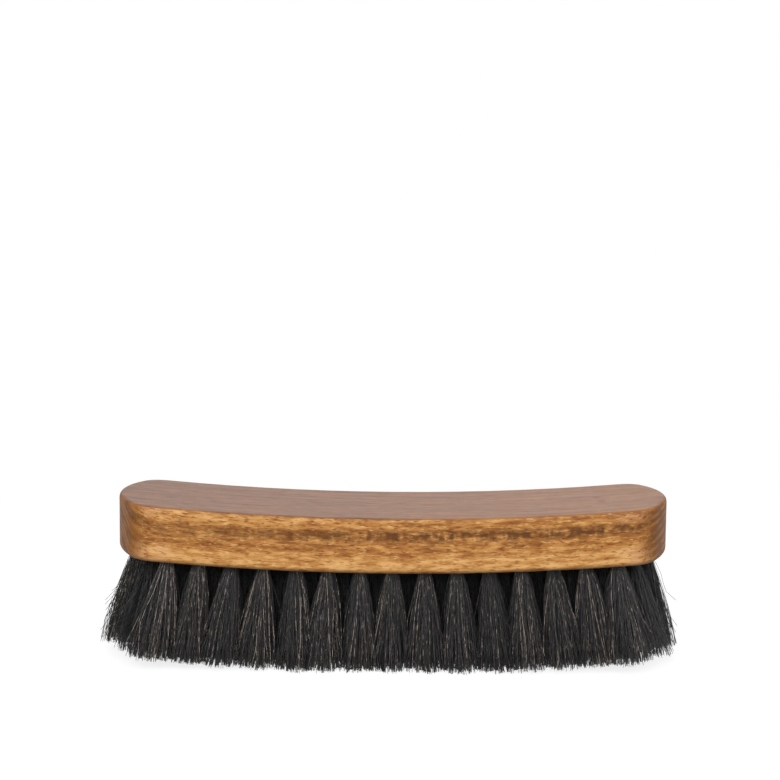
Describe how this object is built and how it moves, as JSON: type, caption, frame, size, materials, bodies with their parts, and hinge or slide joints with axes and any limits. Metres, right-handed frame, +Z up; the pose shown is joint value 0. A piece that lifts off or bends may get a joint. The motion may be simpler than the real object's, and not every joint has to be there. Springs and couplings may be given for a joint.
{
  "type": "shoe shine brush",
  "caption": "Shoe shine brush: an arched, stained beech block with rounded ends, filled with rows of dark horsehair tufts that fan out and are trimmed to a gentle curve.",
  "frame": {"origin": "under the middle of the block, on the surface that the bristle tips rest on", "axes": "+X along the block, +Y across it towards the rear, +Z up from the tips to the block"},
  "size_m": [0.1868, 0.0522, 0.0544],
  "materials": {
    "stained_beech": "stained beech under satin lacquer",
    "horsehair": "dark natural horsehair with a few paler hairs",
    "anchor_wire": "flat drawn wire"
  },
  "bodies": {
    "root": {"block": "stained_beech", "tuft_front_01": "horsehair", "tuft_front_02": "horsehair", "tuft_front_03": "horsehair", "tuft_front_04": "horsehair", "tuft_front_05": "horsehair", "tuft_front_06": "horsehair", "tuft_front_07": "horsehair", "tuft_front_08": "horsehair", "tuft_front_09": "horsehair", "tuft_front_10": "horsehair", "tuft_front_11": "horsehair", "tuft_front_12": "horsehair", "tuft_front_13": "horsehair", "tuft_front_14": "horsehair", "tuft_front_15": "horsehair", "tufts_front_inner": "horsehair", "tuft_middle_01": "horsehair", "tuft_middle_02": "horsehair", "tuft_middle_03": "horsehair", "tuft_middle_04": "horsehair", "tuft_middle_05": "horsehair", "tuft_middle_06": "horsehair", "tuft_middle_07": "horsehair", "tuft_middle_08": "horsehair", "tuft_middle_09": "horsehair", "tuft_middle_10": "horsehair", "tuft_middle_11": "horsehair", "tuft_middle_12": "horsehair", "tuft_middle_13": "horsehair", "tuft_middle_14": "horsehair", "tuft_middle_15": "horsehair", "tuft_middle_16": "horsehair", "tuft_middle_17": "horsehair", "tufts_rear_inner": "horsehair", "tuft_rear_01": "horsehair", "tuft_rear_02": "horsehair", "tuft_rear_03": "horsehair", "tuft_rear_04": "horsehair", "tuft_rear_05": "horsehair", "tuft_rear_06": "horsehair", "tuft_rear_07": "horsehair", "tuft_rear_08": "horsehair", "tuft_rear_09": "horsehair", "tuft_rear_10": "horsehair", "tuft_rear_11": "horsehair", "tuft_rear_12": "horsehair", "tuft_rear_13": "horsehair", "tuft_rear_14": "horsehair", "tuft_rear_15": "horsehair", "anchors_front": "anchor_wire", "anchors_front_inner": "anchor_wire", "anchors_middle": "anchor_wire", "anchors_rear_inner": "anchor_wire", "anchors_rear": "anchor_wire"}
  },
  "joints": []
}
